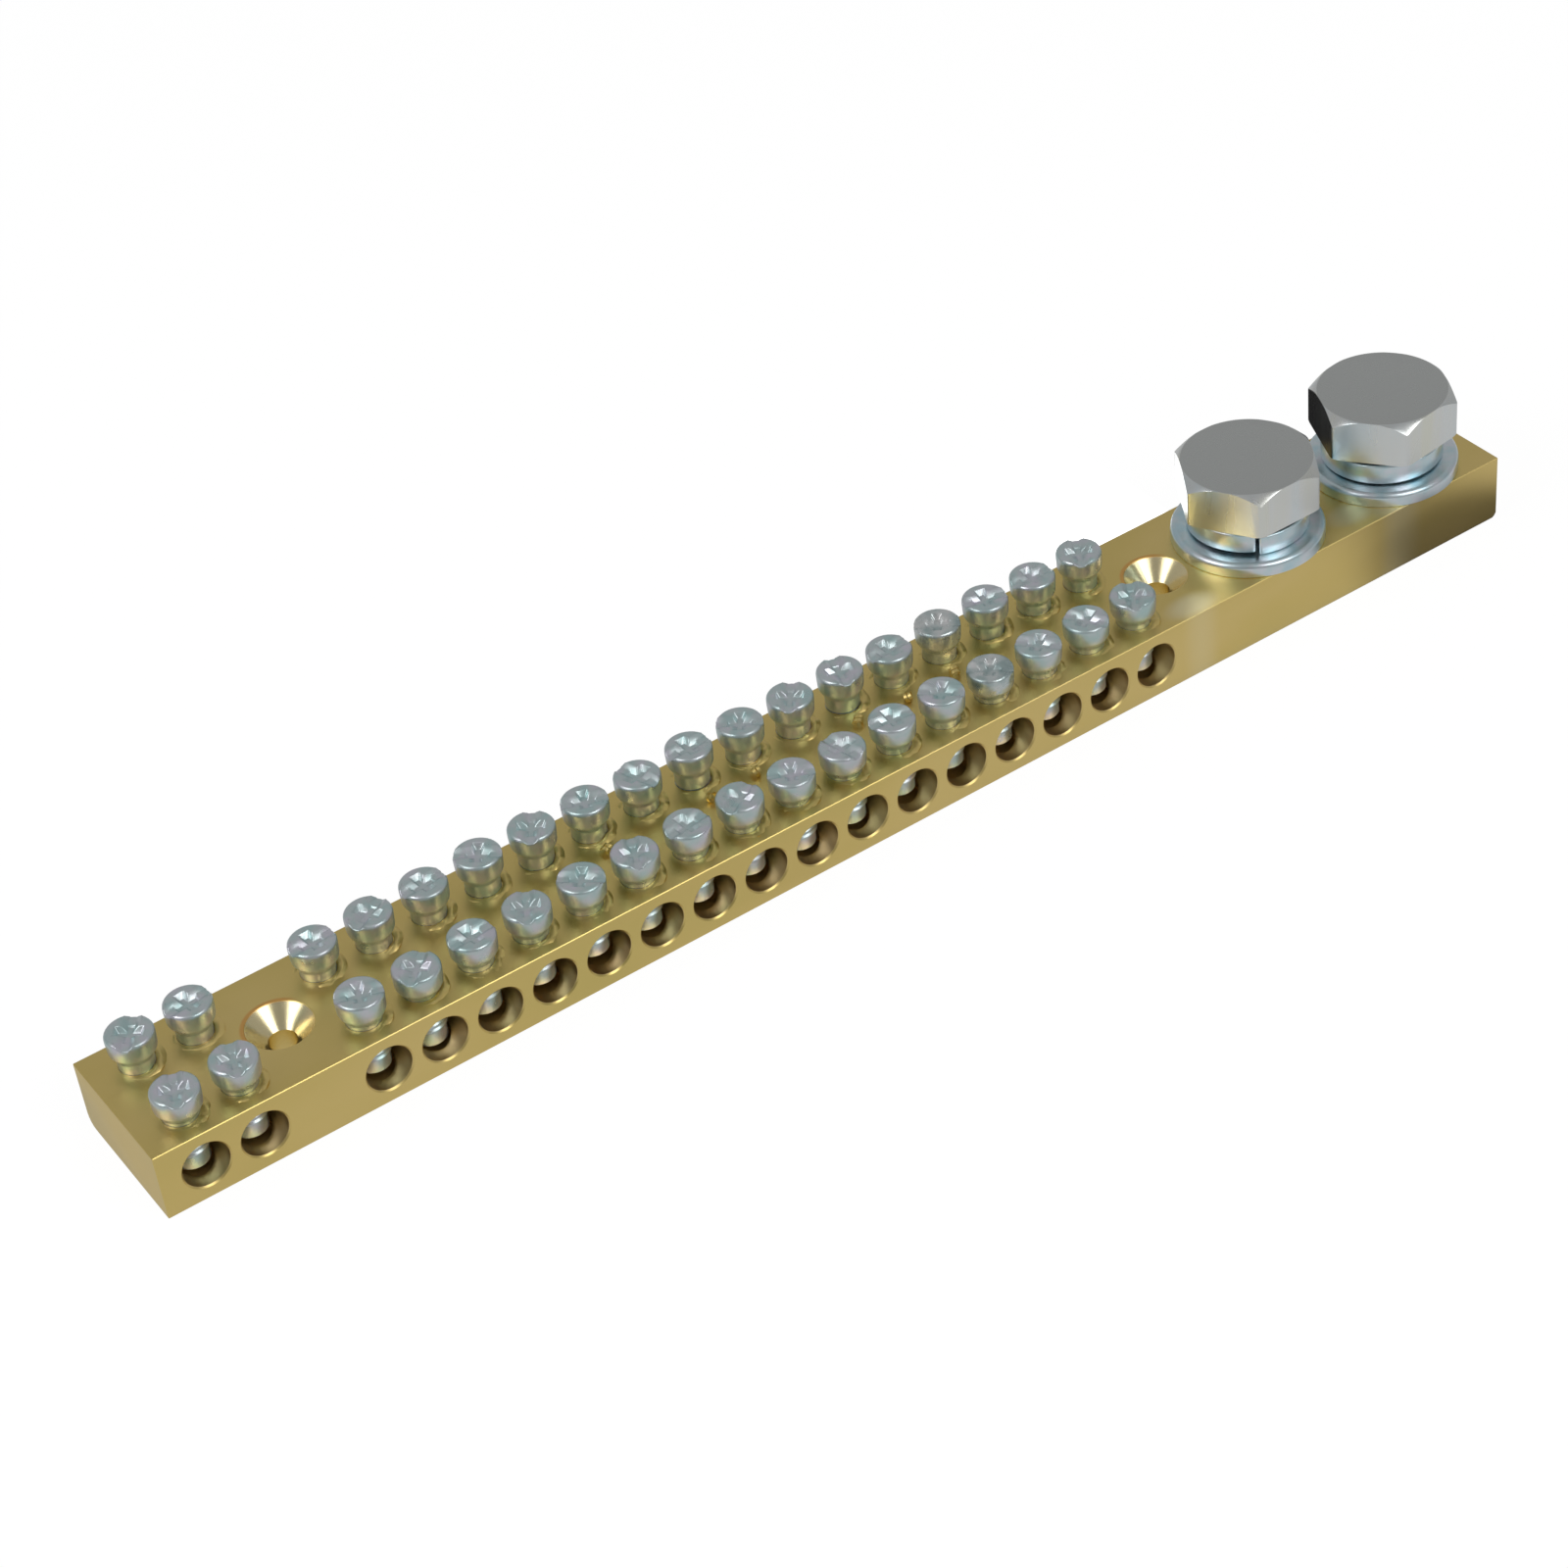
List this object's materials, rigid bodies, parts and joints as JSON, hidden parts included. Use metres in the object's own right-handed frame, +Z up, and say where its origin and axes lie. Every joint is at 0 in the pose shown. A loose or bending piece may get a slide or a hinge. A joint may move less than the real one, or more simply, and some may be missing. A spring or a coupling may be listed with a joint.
{
  "type": "terminal bar",
  "caption": "Brass terminal bar with two rows of clamping screws over cross-drilled wire holes, countersunk fixing holes and two hex main bolts on spring and flat washers.",
  "frame": {"origin": "middle of the bar's underside, where it lies on its support", "axes": "+X along the bar towards the main bolts, -Y the front with the lower screw heads, +Z up"},
  "size_m": [0.2, 0.0208, 0.0214],
  "materials": {
    "brass": "drawn brass, bare, a little dull, with small burrs at the drilled holes",
    "zinc_screw": "steel screws with a thin blue-grey zinc plating",
    "zinc_washer": "steel washers with a bluish zinc plating",
    "zinc_bolt": "forged steel bolts with a grey zinc plating"
  },
  "bodies": {
    "root": {"bar": "brass", "terminal_screw_front_01": "zinc_screw", "terminal_screw_front_02": "zinc_screw", "terminal_screw_front_03": "zinc_screw", "terminal_screw_front_04": "zinc_screw", "terminal_screw_front_05": "zinc_screw", "terminal_screw_front_06": "zinc_screw", "terminal_screw_front_07": "zinc_screw", "terminal_screw_front_08": "zinc_screw", "terminal_screw_front_09": "zinc_screw", "terminal_screw_front_10": "zinc_screw", "terminal_screw_front_11": "zinc_screw", "terminal_screw_front_12": "zinc_screw", "terminal_screw_front_13": "zinc_screw", "terminal_screw_front_14": "zinc_screw", "terminal_screw_front_15": "zinc_screw", "terminal_screw_front_16": "zinc_screw", "terminal_screw_front_17": "zinc_screw", "terminal_screw_front_18": "zinc_screw", "terminal_screw_back_01": "zinc_screw", "terminal_screw_back_02": "zinc_screw", "terminal_screw_back_03": "zinc_screw", "terminal_screw_back_04": "zinc_screw", "terminal_screw_back_05": "zinc_screw", "terminal_screw_back_06": "zinc_screw", "terminal_screw_back_07": "zinc_screw", "terminal_screw_back_08": "zinc_screw", "terminal_screw_back_09": "zinc_screw", "terminal_screw_back_10": "zinc_screw", "terminal_screw_back_11": "zinc_screw", "terminal_screw_back_12": "zinc_screw", "terminal_screw_back_13": "zinc_screw", "terminal_screw_back_14": "zinc_screw", "terminal_screw_back_15": "zinc_screw", "terminal_screw_back_16": "zinc_screw", "terminal_screw_back_17": "zinc_screw", "terminal_screw_back_18": "zinc_screw", "flat_washer_1": "zinc_washer", "spring_washer_1": "zinc_washer", "bolt_1": "zinc_bolt", "flat_washer_2": "zinc_washer", "spring_washer_2": "zinc_washer", "bolt_2": "zinc_bolt"}
  },
  "joints": []
}
